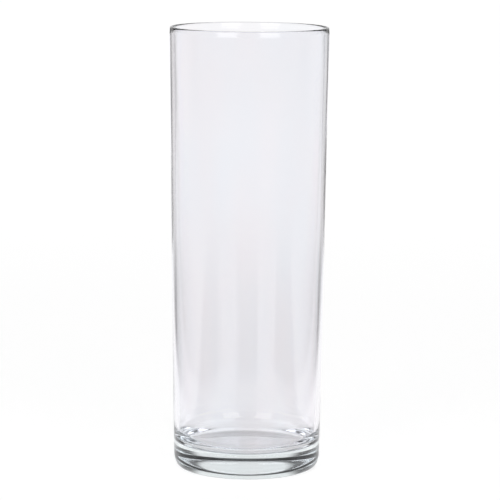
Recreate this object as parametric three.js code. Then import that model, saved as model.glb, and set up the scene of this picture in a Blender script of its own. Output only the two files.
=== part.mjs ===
// A machine-made clear glass cylinder vase: one body of pressed and blown soda-lime glass.
// Units are millimetres and +Z is up. The origin is the centre of the circle it stands on.
//
// The vase is a solid of revolution, so its whole shape is one section in (radius, height):
// a shallow push-up under the foot, a flat ring that touches the table, a rounded heel,
// a wall that leans out a little towards the mouth and turns in by a hair below a fire-polished rim,
// and a thick floor that meets the wall in a fillet.

import * as THREE from 'three';

// Overall size
const HEIGHT = 250;
const MOUTH_DIAMETER = 89.5;
const FOOT_DIAMETER = 83.2;

// Glass thickness
const WALL_AT_RIM = 2;
const WALL_AT_FLOOR = 2.8;
const FLOOR_THICKNESS = 13.2;

// Roundings: the heel is higher than it is wide, and the rim is half an ellipse over the wall.
const HEEL_HEIGHT = 7.5;
const HEEL_WIDTH = 3.4;
const FLOOR_FILLET = 9.8;
const RIM_HEIGHT = 0.9;

// Over its last few millimetres below the rim, each face of the wall leans this far into the wall.
const RIM_LEAN = 0.12;
const RIM_LEAN_HEIGHT = 3.2;

// Underside: the push-up is a very shallow dome that ends where the standing ring starts.
const PUSH_UP_HEIGHT = 0.1;
const STANDING_RING_WIDTH = 3;

// Fineness of the round stretches
const TURNS = 96;
const QUARTER_ARC_STEPS = 5;
const RIM_STEPS = 10;
const DOME_STEPS = 4;
const LEAN_STEPS = 3;

const QUARTER_TURN = Math.PI / 2;

const mouthRadius = MOUTH_DIAMETER / 2;
const footRadius = FOOT_DIAMETER / 2;
const ringOuterRadius = footRadius - HEEL_WIDTH;
const ringInnerRadius = ringOuterRadius - STANDING_RING_WIDTH;
const rimBase = HEIGHT - RIM_HEIGHT;
const leanStart = rimBase - RIM_LEAN_HEIGHT;

// How far each face of the wall leans into the wall at a height.
function rimLean(height) {
  const share = Math.max(0, (height - leanStart) / RIM_LEAN_HEIGHT);
  return RIM_LEAN * share * share;
}

// Radius of the outer wall at a height: a straight taper from the heel to where it leans in.
function outerRadius(height) {
  const share = Math.min(1, (height - HEEL_HEIGHT) / (leanStart - HEEL_HEIGHT));
  return THREE.MathUtils.lerp(footRadius, mouthRadius, share) - rimLean(height);
}

// Radius of the inner wall at a height: the wall thickens evenly from the rim to the floor.
function innerRadius(height) {
  const share = (height - FLOOR_THICKNESS) / (HEIGHT - FLOOR_THICKNESS);
  const wall = THREE.MathUtils.lerp(WALL_AT_FLOOR, WALL_AT_RIM, share);
  return outerRadius(height) - wall + 2 * rimLean(height);
}

// Points along an elliptical arc about (centreRadius, centreHeight), both ends included.
function arc(centreRadius, centreHeight, semiRadius, semiHeight, startAngle, endAngle, steps) {
  const points = [];
  for (let step = 0; step <= steps; step += 1) {
    const angle = THREE.MathUtils.lerp(startAngle, endAngle, step / steps);
    points.push(new THREE.Vector2(
      centreRadius + semiRadius * Math.cos(angle),
      centreHeight + semiHeight * Math.sin(angle),
    ));
  }
  return points;
}

// The underside from the axis out to the standing ring: a dome that is flat at the axis.
function pushUp() {
  const points = [];
  for (let step = 0; step <= DOME_STEPS; step += 1) {
    const share = step / DOME_STEPS;
    const height = PUSH_UP_HEIGHT * (1 - share * share);
    points.push(new THREE.Vector2(ringInnerRadius * share, height));
  }
  return points;
}

// The heel turns from the flat standing ring up into the outer wall.
function heel() {
  return arc(
    ringOuterRadius, HEEL_HEIGHT, HEEL_WIDTH, HEEL_HEIGHT, -QUARTER_TURN, 0, QUARTER_ARC_STEPS,
  );
}

// One face of the wall where it leans in, from where the lean starts up to just below the rim.
function leaningFace(radiusAt) {
  const points = [];
  for (let step = 0; step < LEAN_STEPS; step += 1) {
    const height = THREE.MathUtils.lerp(leanStart, rimBase, step / LEAN_STEPS);
    points.push(new THREE.Vector2(radiusAt(height), height));
  }
  return points;
}

// The fire-polished rim: half an ellipse over the full thickness of the wall.
function rim() {
  const outer = outerRadius(rimBase);
  const inner = innerRadius(rimBase);
  const middle = (outer + inner) / 2;
  return arc(middle, rimBase, (outer - inner) / 2, RIM_HEIGHT, 0, Math.PI, RIM_STEPS);
}

// The fillet turns from the inner wall into the flat floor.
function floorFillet() {
  const top = FLOOR_THICKNESS + FLOOR_FILLET;
  const centre = innerRadius(top) - FLOOR_FILLET;
  const radius = FLOOR_FILLET;
  return arc(centre, top, radius, radius, 0, -QUARTER_TURN, QUARTER_ARC_STEPS);
}

// The closed section, counter-clockwise, from the underside on the axis to the floor on the axis.
function section() {
  const floorCentre = new THREE.Vector2(0, FLOOR_THICKNESS);
  const outerLean = leaningFace(outerRadius);
  const innerLean = leaningFace(innerRadius).reverse();
  return [
    ...pushUp(), ...heel(), ...outerLean, ...rim(), ...innerLean, ...floorFillet(), floorCentre,
  ];
}

function glassVase() {
  const geometry = new THREE.LatheGeometry(section(), TURNS);
  geometry.rotateX(QUARTER_TURN);
  const clearGlass = new THREE.MeshStandardMaterial({
    color: 0xe9f0ee,
    roughness: 0.03,
    metalness: 0,
    transparent: true,
    opacity: 0.3,
  });
  const mesh = new THREE.Mesh(geometry, clearGlass);
  mesh.name = 'glass_vase';
  return mesh;
}

const vase = new THREE.Group();
vase.add(glassVase());

export default vase;
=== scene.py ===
"""A clear glass cylinder vase on a glowing floor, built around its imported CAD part.

The CAD node is one faceted solid. This script makes the fine, smooth glass surface that stands for it,
from the same section: push-up, standing ring, heel, tapered wall, fire-polished rim, fillet and floor.
Lengths are in metres. The vase stands on the origin, +Z is up, and the camera looks along +Y.
"""

import math

import bmesh
import bpy
from mathutils import Matrix, Vector


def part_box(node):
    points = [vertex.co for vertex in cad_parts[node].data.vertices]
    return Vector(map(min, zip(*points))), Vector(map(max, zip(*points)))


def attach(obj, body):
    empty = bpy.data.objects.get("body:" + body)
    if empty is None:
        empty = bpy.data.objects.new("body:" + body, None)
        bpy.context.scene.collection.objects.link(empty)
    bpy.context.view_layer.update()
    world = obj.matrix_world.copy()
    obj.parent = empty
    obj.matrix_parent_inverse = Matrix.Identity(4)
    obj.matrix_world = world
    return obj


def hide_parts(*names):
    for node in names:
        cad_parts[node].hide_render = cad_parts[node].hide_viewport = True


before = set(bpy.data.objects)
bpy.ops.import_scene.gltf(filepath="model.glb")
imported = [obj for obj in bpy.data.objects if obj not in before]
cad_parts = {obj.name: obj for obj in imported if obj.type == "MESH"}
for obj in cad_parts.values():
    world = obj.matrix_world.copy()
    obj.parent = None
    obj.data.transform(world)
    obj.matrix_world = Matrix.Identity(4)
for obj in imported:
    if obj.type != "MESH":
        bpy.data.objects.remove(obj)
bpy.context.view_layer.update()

MM = 0.001

# The vase's section, with its overall sizes read from the CAD node's box. It tapers down to the foot.
VASE_LOW, VASE_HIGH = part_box("glass_vase")
HEIGHT = VASE_HIGH.z - VASE_LOW.z
MOUTH_RADIUS = (VASE_HIGH.x - VASE_LOW.x) / 2
WALL_TAPER = 3.15 * MM
FOOT_RADIUS = MOUTH_RADIUS - WALL_TAPER
WALL_AT_RIM = 2.0 * MM
WALL_AT_FLOOR = 2.8 * MM
FLOOR_THICKNESS = 13.2 * MM
HEEL_HEIGHT = 7.5 * MM
HEEL_WIDTH = 3.4 * MM
FLOOR_FILLET = 9.8 * MM
FILLET_TOP = FLOOR_THICKNESS + FLOOR_FILLET
RIM_HEIGHT = 0.9 * MM
RIM_BASE = HEIGHT - RIM_HEIGHT
RIM_LEAN = 0.12 * MM
RIM_LEAN_HEIGHT = 3.2 * MM
LEAN_START = HEIGHT - RIM_HEIGHT - RIM_LEAN_HEIGHT
PUSH_UP_HEIGHT = 0.1 * MM
STANDING_RING_WIDTH = 3 * MM

# The blown inner wall isn't quite even. This is how far it strays at most, over what height the straying
# fades out at each end, and its waves: share, lobes around, radians to the metre of height, and phase.
# A point counts as one of the inner wall's if it is within the tolerance of the wall's radius.
WALL_WAVE = 0.12 * MM
WALL_WAVE_FADE = 25 * MM
WALL_WAVES = ((0.5, 2, 9, 0.6), (0.35, 3, -34, 1.9), (0.15, 7, 61, 0.0))
WALL_TOLERANCE = 0.1 * MM

# The glass: its refraction, and its tint, which shows where the glass is thick
GLASS_IOR = 1.52
GLASS_TINT = (0.45, 0.78, 0.70, 1.0)
GLASS_TINT_DENSITY = 2.2

# Faint waves in the glass, drawn out along its height: scale by axis, depth, and the casts they go between
GLASS_WAVE_SCALE = (45, 45, 12)
GLASS_WAVE_DETAIL = 2.0
GLASS_WAVE_DEPTH = 0.02 * MM
GLASS_COOL_CAST = (0.984, 0.987, 1.0, 1.0)
GLASS_WARM_CAST = (0.993, 0.985, 0.995, 1.0)
GLASS_CAST_EDGE = (0.35, 0.65)

# Fineness of the glass mesh
TURNS = 320
WALL_STEPS = 96
ARC_STEPS = 16
FLAT_STEPS = 14
QUARTER_TURN = math.pi / 2

# The camera: a long lens in front of the vase, a little over its rim. It sees nothing past its reach.
CAMERA_DISTANCE = 1.395
CAMERA_OVER_RIM = 0.089
CAMERA_PITCH = math.radians(8.77)
CAMERA_ROLL = math.radians(0.41)
CAMERA_REACH = 100
LENS_PER_FRAME = 4.986
SENSOR_WIDTH = 36.0
FRAME_SHIFT_X = 0.004

# The studio: light levels, and where one gives way to the next, as angles from straight behind the vase
BACKDROP_LIGHT = 1.05
FLAG_LIGHT = 0.1
SIDE_LIGHT = 0.2
ROOM_LIGHT = 0.03
BACKDROP_CENTRE = math.radians(2)
BACKDROP_EDGE = (math.radians(25), math.radians(40))
FLAG_EDGE = (math.radians(50), math.radians(60))
ROOM_EDGE = (math.radians(95), math.radians(125))
CEILING_BACK_LIGHT = 0.5
CEILING_FRONT_LIGHT = 0.03
CEILING_FRONT_EDGE = (math.radians(70), math.radians(100))
CEILING_EDGE = (math.radians(44), math.radians(58))

# The softboxes at left and right of the camera, at their azimuths from straight behind the vase
SOFTBOX_LEFT = math.radians(180 + 32)
SOFTBOX_RIGHT = math.radians(180 - 29)
SOFTBOX_ELEVATION = math.radians(22)
SOFTBOX_DISTANCE = 1.6
SOFTBOX_WIDTH = 0.85
SOFTBOX_HEIGHT = 1.15
SOFTBOX_POWER = 7.5

# The floor: opal acrylic that reflects some light and has a glow of painted light, with a little gloss in
# front of the painted lit strip
FLOOR_HALF_WIDTH = 9.0
FLOOR_GAP = 0.05 * MM
FLOOR_REFLECTANCE = 0.35
FLOOR_IOR = 1.49
FLOOR_POLISH = 0.5
FLOOR_ROUGHNESS = 0.12
FLOOR_DIM_GLOW = 0.2

# The lit strip, a pool of painted light under and behind the vase. It widens as it goes back, and glows a
# little more there.
STRIP_NEAR_GLOW = 0.86
STRIP_FAR_GLOW = 0.95
STRIP_FAR_EDGE = (0.05, 1.8)
STRIP_FRONT_EDGE = (-0.24, -0.11)
STRIP_SPREAD = 0.2
STRIP_SIDE_EDGE = (0.145, 0.205)

# The painted lit sheet at each side, past a dark gap of painted shade, away from the vase and fading towards
# the front
SIDE_GLOW = 0.68
SIDE_SPREAD = 0.45
SIDE_INNER_EDGE = (0.0, 0.1)
SIDE_FRONT_TURN = 0.3
SIDE_FRONT_EDGE = (-1.0, 1.0)
SIDE_NEAR_EDGE = (0.35, 0.95)

# A painted shadow under the foot: the floor's glow is less there, out to where the heel would let light in
FOOT_PAINTED_SHADOW_SHARE = 0.6
FOOT_PAINTED_SHADOW_EDGE = (0.034, 0.042)

# A faint shade painted on the floor behind the vase: depth, side edge, spread, and where it starts and ends
SHADE_DEPTH = 0.14
SHADE_EDGE = (0.034, 0.042)
SHADE_SPREAD = 0.03
SHADE_START = (0.0, 0.03)
SHADE_REACH = (0.05, 1.1)

# Light bounces: enough to cross both walls, and to be reflected several times inside the thick foot
LIGHT_BOUNCES = 20
GLOSSY_BOUNCES = 10


def rim_lean(z):
    """How far each face of the wall leans into the wall at height z, which it does only close to the rim."""
    share = max(0.0, (z - LEAN_START) / RIM_LEAN_HEIGHT)
    return RIM_LEAN * share * share


def outer_radius(z):
    """Radius of the outer wall at height z: a straight taper from the heel to where it leans in."""
    share = min(1.0, (z - HEEL_HEIGHT) / (LEAN_START - HEEL_HEIGHT))
    return FOOT_RADIUS + (MOUTH_RADIUS - FOOT_RADIUS) * share - rim_lean(z)


def inner_radius(z):
    """Radius of the inner wall at height z: the wall thickens evenly from the rim to the floor."""
    share = (z - FLOOR_THICKNESS) / (HEIGHT - FLOOR_THICKNESS)
    thickness = WALL_AT_FLOOR + (WALL_AT_RIM - WALL_AT_FLOOR) * share
    return outer_radius(z) - thickness + 2 * rim_lean(z)


def arc(centre_r, centre_z, semi_r, semi_z, start, end, steps):
    """Points along an elliptical arc of the section, both ends included."""
    points = []
    for step in range(steps + 1):
        angle = start + (end - start) * step / steps
        points.append((centre_r + semi_r * math.cos(angle), centre_z + semi_z * math.sin(angle)))
    return points


def wall(radius_at, start_z, end_z):
    """Points along a wall between two heights, without its ends. They lie closer together near the rim."""
    low, high = sorted((start_z, end_z))
    shares = [math.sin(QUARTER_TURN * step / WALL_STEPS) for step in range(1, WALL_STEPS)]
    heights = sorted((low + (high - low) * share for share in shares), reverse=end_z < start_z)
    return [(radius_at(z), z) for z in heights]


def underside(ring_inner):
    """Points of the very shallow push-up, from the axis out to the standing ring."""
    shares = [step / FLAT_STEPS for step in range(FLAT_STEPS + 1)]
    return [(ring_inner * share, PUSH_UP_HEIGHT * (1 - share * share)) for share in shares]


def rim():
    """Points of the fire-polished rim: half an ellipse over the full thickness of the wall."""
    outer = outer_radius(RIM_BASE)
    inner = inner_radius(RIM_BASE)
    return arc((outer + inner) / 2, RIM_BASE, (outer - inner) / 2, RIM_HEIGHT, 0, math.pi, 2 * ARC_STEPS)


def inner_floor():
    """Points of the fillet down from the inner wall, and of the flat floor in to the axis."""
    centre = inner_radius(FILLET_TOP) - FLOOR_FILLET
    fillet = arc(centre, FILLET_TOP, FLOOR_FILLET, FLOOR_FILLET, 0, -QUARTER_TURN, ARC_STEPS)
    flat = [(centre * (1 - step / FLAT_STEPS), FLOOR_THICKNESS) for step in range(1, FLAT_STEPS + 1)]
    return fillet + flat


def section():
    """The closed section of the glass as (radius, height), from the underside to the floor's centre."""
    ring_outer = FOOT_RADIUS - HEEL_WIDTH
    points = underside(ring_outer - STANDING_RING_WIDTH)
    points += arc(ring_outer, HEEL_HEIGHT, HEEL_WIDTH, HEEL_HEIGHT, -QUARTER_TURN, 0, ARC_STEPS)
    points += wall(outer_radius, HEEL_HEIGHT, RIM_BASE)
    points += rim()
    points += wall(inner_radius, RIM_BASE, FILLET_TOP)
    return points + inner_floor()


def inner_wall_wave(r, z, angle):
    """How far a point of the inner wall strays from its even radius, in metres. Nothing on other points."""
    if not FILLET_TOP < z < RIM_BASE or r > inner_radius(z) + WALL_TOLERANCE:
        return 0.0
    fade = min(1.0, (z - FILLET_TOP) / WALL_WAVE_FADE, (RIM_BASE - z) / WALL_WAVE_FADE)
    fade = fade * fade * (3 - 2 * fade)
    waves = (share * math.sin(lobes * angle + climb * z + phase) for share, lobes, climb, phase in WALL_WAVES)
    return WALL_WAVE * fade * sum(waves)


def lathe(name, points, turns):
    """A closed mesh that turns a section about the Z axis. The section starts and ends on the axis."""
    mesh = bpy.data.meshes.new(name)
    shape = bmesh.new()
    columns = []
    for turn in range(turns):
        angle = 2 * math.pi * turn / turns
        column = []
        for r, z in points[1:-1]:
            reach = r + inner_wall_wave(r, z, angle)
            column.append(shape.verts.new((reach * math.cos(angle), reach * math.sin(angle), z)))
        columns.append(column)
    bottom = shape.verts.new((0, 0, points[0][1]))
    top = shape.verts.new((0, 0, points[-1][1]))
    for turn, here in enumerate(columns):
        after = columns[(turn + 1) % turns]
        shape.faces.new((bottom, after[0], here[0]))
        for row in range(len(here) - 1):
            shape.faces.new((here[row], after[row], after[row + 1], here[row + 1]))
        shape.faces.new((here[-1], after[-1], top))
    for face in shape.faces:
        face.smooth = True
    shape.to_mesh(mesh)
    shape.free()
    piece = bpy.data.objects.new(name, mesh)
    bpy.context.scene.collection.objects.link(piece)
    return piece


def new_material(name):
    """An empty node material, with its node tree and its output node."""
    material = bpy.data.materials.new(name)
    material.use_nodes = True
    tree = material.node_tree
    tree.nodes.clear()
    output = tree.nodes.new("ShaderNodeOutputMaterial")
    return material, tree, output


def math_node(tree, operation, first, second=0.0):
    """One maths node on two inputs, each a number or another node's output. Returns its output."""
    node = tree.nodes.new("ShaderNodeMath")
    node.operation = operation
    for socket, value in zip(node.inputs, (first, second)):
        if isinstance(value, (int, float)):
            socket.default_value = value
        else:
            tree.links.new(value, socket)
    return node.outputs[0]


def smooth_step(tree, value, low, high, start=0.0, end=1.0):
    """Start below low, end above high, and a smooth change between them."""
    node = tree.nodes.new("ShaderNodeMapRange")
    node.interpolation_type = "SMOOTHSTEP"
    settings = {"From Min": low, "From Max": high, "To Min": start, "To Max": end}
    for name, number in settings.items():
        node.inputs[name].default_value = number
    tree.links.new(value, node.inputs["Value"])
    return node.outputs["Result"]


def mix_numbers(tree, share, first, second):
    """First where share is 0, second where it is 1. Each is a number or a node's output."""
    rest = math_node(tree, "SUBTRACT", 1.0, share)
    kept = math_node(tree, "MULTIPLY", rest, first)
    added = math_node(tree, "MULTIPLY", share, second)
    return math_node(tree, "ADD", kept, added)


def glass_waves(tree):
    """Noise in the vase's own space, drawn out along its height. Returns its output."""
    place = tree.nodes.new("ShaderNodeTexCoord")
    stretch = tree.nodes.new("ShaderNodeMapping")
    stretch.inputs["Scale"].default_value = GLASS_WAVE_SCALE
    tree.links.new(place.outputs["Object"], stretch.inputs["Vector"])
    wave = tree.nodes.new("ShaderNodeTexNoise")
    wave.inputs["Scale"].default_value = 1.0
    wave.inputs["Detail"].default_value = GLASS_WAVE_DETAIL
    tree.links.new(stretch.outputs["Vector"], wave.inputs["Vector"])
    return wave.outputs["Fac"]


def clear_glass():
    """Soda-lime glass: fire-polished and clear, faintly green where it is thick, with soft mould waves."""
    material, tree, output = new_material("clear_glass")
    wave = glass_waves(tree)
    bump = tree.nodes.new("ShaderNodeBump")
    bump.inputs["Distance"].default_value = GLASS_WAVE_DEPTH
    tree.links.new(wave, bump.inputs["Height"])
    cast = tree.nodes.new("ShaderNodeValToRGB")
    cool, warm = cast.color_ramp.elements
    cool.position, warm.position = GLASS_CAST_EDGE
    cool.color = GLASS_COOL_CAST
    warm.color = GLASS_WARM_CAST
    tree.links.new(wave, cast.inputs["Fac"])
    glass = tree.nodes.new("ShaderNodeBsdfGlass")
    glass.inputs["IOR"].default_value = GLASS_IOR
    glass.inputs["Roughness"].default_value = 0.0
    tree.links.new(bump.outputs["Normal"], glass.inputs["Normal"])
    tree.links.new(cast.outputs["Color"], glass.inputs["Color"])
    tint = tree.nodes.new("ShaderNodeVolumeAbsorption")
    tint.inputs["Color"].default_value = GLASS_TINT
    tint.inputs["Density"].default_value = GLASS_TINT_DENSITY
    tree.links.new(glass.outputs["BSDF"], output.inputs["Surface"])
    tree.links.new(tint.outputs["Volume"], output.inputs["Volume"])
    return material


def beside(tree, x, y, spread):
    """How far a place on the floor is from the middle line, less a part that grows behind the vase."""
    behind = math_node(tree, "MAXIMUM", y, 0.0)
    widening = math_node(tree, "MULTIPLY", behind, spread)
    return math_node(tree, "SUBTRACT", math_node(tree, "ABSOLUTE", x), widening)


def strip_glow(tree, x, y, on_strip):
    """Painted light of the lit strip and of the dim floor around it."""
    off_strip = smooth_step(tree, beside(tree, x, y, STRIP_SPREAD), *STRIP_SIDE_EDGE)
    far = smooth_step(tree, y, *STRIP_FAR_EDGE)
    glow = mix_numbers(tree, far, STRIP_NEAR_GLOW, STRIP_FAR_GLOW)
    glow = mix_numbers(tree, off_strip, glow, FLOOR_DIM_GLOW)
    return mix_numbers(tree, on_strip, FLOOR_DIM_GLOW, glow)


def side_share(tree, x, y, radius):
    """Share of the painted lit sheets at the sides: 1 well inside one, 0 outside both."""
    share = smooth_step(tree, beside(tree, x, y, SIDE_SPREAD), *SIDE_INNER_EDGE)
    turn = math_node(tree, "MULTIPLY", math_node(tree, "ABSOLUTE", x), SIDE_FRONT_TURN)
    forward = math_node(tree, "SUBTRACT", y, turn)
    share = math_node(tree, "MULTIPLY", share, smooth_step(tree, forward, *SIDE_FRONT_EDGE))
    return math_node(tree, "MULTIPLY", share, smooth_step(tree, radius, *SIDE_NEAR_EDGE))


def shade_share(tree, x, y):
    """Share of the glow that the shade painted behind the vase takes away."""
    share = smooth_step(tree, beside(tree, x, y, SHADE_SPREAD), *SHADE_EDGE, SHADE_DEPTH, 0.0)
    share = math_node(tree, "MULTIPLY", share, smooth_step(tree, y, *SHADE_REACH, 1.0, 0.0))
    return math_node(tree, "MULTIPLY", share, smooth_step(tree, y, *SHADE_START))


def floor_glow(tree, place, x, y, on_strip):
    """The floor's painted glow: its strip and side sheets, less the painted shadow under the foot and the
    painted shade behind the vase.
    """
    length = tree.nodes.new("ShaderNodeVectorMath")
    length.operation = "LENGTH"
    tree.links.new(place, length.inputs[0])
    radius = length.outputs["Value"]
    glow = strip_glow(tree, x, y, on_strip)
    glow = mix_numbers(tree, side_share(tree, x, y, radius), glow, SIDE_GLOW)
    # painted shadow under the foot: the glow drops to its share inside the heel
    foot = smooth_step(tree, radius, *FOOT_PAINTED_SHADOW_EDGE, FOOT_PAINTED_SHADOW_SHARE, 1.0)
    glow = math_node(tree, "MULTIPLY", glow, foot)
    return math_node(tree, "MULTIPLY", glow, math_node(tree, "SUBTRACT", 1.0, shade_share(tree, x, y)))


def floor_sheet(tree, on_strip):
    """The floor's unlit surface: matt, with some gloss in front of the strip. Returns its shader."""
    matt = tree.nodes.new("ShaderNodeBsdfDiffuse")
    matt.inputs["Color"].default_value = (FLOOR_REFLECTANCE, FLOOR_REFLECTANCE, FLOOR_REFLECTANCE, 1.0)
    gloss = tree.nodes.new("ShaderNodeBsdfGlossy")
    gloss.inputs["Color"].default_value = (FLOOR_POLISH, FLOOR_POLISH, FLOOR_POLISH, 1.0)
    gloss.inputs["Roughness"].default_value = FLOOR_ROUGHNESS
    fresnel = tree.nodes.new("ShaderNodeFresnel")
    fresnel.inputs["IOR"].default_value = FLOOR_IOR
    off_glow = math_node(tree, "SUBTRACT", 1.0, on_strip)
    polished = math_node(tree, "MULTIPLY", fresnel.outputs["Fac"], off_glow)
    sheet = tree.nodes.new("ShaderNodeMixShader")
    tree.links.new(polished, sheet.inputs["Fac"])
    tree.links.new(matt.outputs["BSDF"], sheet.inputs[1])
    tree.links.new(gloss.outputs["BSDF"], sheet.inputs[2])
    return sheet.outputs["Shader"]


def floor_acrylic_painted_glow():
    """Opal acrylic with a glow of painted light by place: a bright strip, a dim gap on each side, and a sheet
    past each gap.
    """
    material, tree, output = new_material("floor_acrylic_painted_glow")
    geometry = tree.nodes.new("ShaderNodeNewGeometry")
    place = geometry.outputs["Position"]
    parts = tree.nodes.new("ShaderNodeSeparateXYZ")
    tree.links.new(place, parts.inputs["Vector"])
    x, y, _z = parts.outputs
    on_strip = smooth_step(tree, y, *STRIP_FRONT_EDGE)
    lamp = tree.nodes.new("ShaderNodeEmission")
    tree.links.new(floor_glow(tree, place, x, y, on_strip), lamp.inputs["Strength"])
    both = tree.nodes.new("ShaderNodeAddShader")
    tree.links.new(floor_sheet(tree, on_strip), both.inputs[0])
    tree.links.new(lamp.outputs["Emission"], both.inputs[1])
    tree.links.new(both.outputs["Shader"], output.inputs["Surface"])
    return material


def make_floor():
    """A large flat floor just under the standing ring."""
    mesh = bpy.data.meshes.new("floor")
    z = VASE_LOW.z - FLOOR_GAP
    half = FLOOR_HALF_WIDTH
    corners = [(-half, -half), (half, -half), (half, half), (-half, half)]
    mesh.from_pydata([(x, y, z) for x, y in corners], [], [(0, 1, 2, 3)])
    mesh.materials.append(floor_acrylic_painted_glow())
    floor = bpy.data.objects.new("floor", mesh)
    bpy.context.scene.collection.objects.link(floor)


def make_camera():
    """A long lens a little over the rim, looking slightly down, as a product picture is taken."""
    data = bpy.data.cameras.new("camera")
    data.sensor_width = SENSOR_WIDTH
    data.lens = SENSOR_WIDTH * LENS_PER_FRAME
    data.shift_x = FRAME_SHIFT_X
    data.clip_end = CAMERA_REACH
    camera = bpy.data.objects.new("camera", data)
    bpy.context.scene.collection.objects.link(camera)
    level = Matrix.Rotation(math.pi / 2 - CAMERA_PITCH, 4, "X")
    roll = Matrix.Rotation(CAMERA_ROLL, 4, "Z")
    place = Matrix.Translation(Vector((0, -CAMERA_DISTANCE, HEIGHT + CAMERA_OVER_RIM)))
    camera.matrix_world = place @ level @ roll
    bpy.context.scene.camera = camera


def studio_light(tree, direction):
    """Strength of the light from a direction, by its azimuth from straight behind and its elevation."""
    parts = tree.nodes.new("ShaderNodeSeparateXYZ")
    tree.links.new(direction, parts.inputs["Vector"])
    x, y, z = parts.outputs
    turn = math_node(tree, "SUBTRACT", math_node(tree, "ARCTAN2", x, y), BACKDROP_CENTRE)
    azimuth = math_node(tree, "ABSOLUTE", turn)
    elevation = math_node(tree, "ARCSINE", z)
    around = mix_numbers(tree, smooth_step(tree, azimuth, *BACKDROP_EDGE), BACKDROP_LIGHT, FLAG_LIGHT)
    around = mix_numbers(tree, smooth_step(tree, azimuth, *FLAG_EDGE), around, SIDE_LIGHT)
    around = mix_numbers(tree, smooth_step(tree, azimuth, *ROOM_EDGE), around, ROOM_LIGHT)
    to_front = smooth_step(tree, azimuth, *CEILING_FRONT_EDGE)
    ceiling = mix_numbers(tree, to_front, CEILING_BACK_LIGHT, CEILING_FRONT_LIGHT)
    return mix_numbers(tree, smooth_step(tree, elevation, *CEILING_EDGE), around, ceiling)


def make_studio_room():
    """The light all round: a white backdrop between dark flags, grey sides, and a dim room in front."""
    world = bpy.data.worlds.new("studio_room")
    world.use_nodes = True
    tree = world.node_tree
    tree.nodes.clear()
    output = tree.nodes.new("ShaderNodeOutputWorld")
    background = tree.nodes.new("ShaderNodeBackground")
    place = tree.nodes.new("ShaderNodeTexCoord")
    tree.links.new(studio_light(tree, place.outputs["Generated"]), background.inputs["Strength"])
    tree.links.new(background.outputs["Background"], output.inputs["Surface"])
    bpy.context.scene.world = world


def make_softbox(name, azimuth):
    """A rectangular softbox that faces the middle of the vase, at an azimuth from straight behind it."""
    data = bpy.data.lights.new(name, "AREA")
    data.shape = "RECTANGLE"
    data.size = SOFTBOX_WIDTH
    data.size_y = SOFTBOX_HEIGHT
    data.energy = SOFTBOX_POWER
    aim = Vector((0, 0, HEIGHT / 2))
    flat = math.cos(SOFTBOX_ELEVATION)
    out = Vector((math.sin(azimuth) * flat, math.cos(azimuth) * flat, math.sin(SOFTBOX_ELEVATION)))
    softbox = bpy.data.objects.new(name, data)
    bpy.context.scene.collection.objects.link(softbox)
    softbox.location = aim + out * SOFTBOX_DISTANCE
    softbox.rotation_euler = (-out).to_track_quat("-Z", "Y").to_euler()


def set_light_paths():
    """Enough bounces for light to cross the glass walls and the thick foot, in plain display tones."""
    scene = bpy.context.scene
    scene.view_settings.view_transform = "Standard"
    scene.cycles.max_bounces = LIGHT_BOUNCES
    scene.cycles.transmission_bounces = LIGHT_BOUNCES
    scene.cycles.glossy_bounces = GLOSSY_BOUNCES
    scene.cycles.blur_glossy = 0.0


def make_vase():
    """The vase's one piece of glass, which stands for the CAD node."""
    vase = lathe("glass_vase_fine", section(), TURNS)
    vase.data.materials.append(clear_glass())
    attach(vase, "root")
    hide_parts("glass_vase")


make_camera()
make_floor()
make_studio_room()
make_softbox("softbox_left", SOFTBOX_LEFT)
make_softbox("softbox_right", SOFTBOX_RIGHT)
set_light_paths()
make_vase()
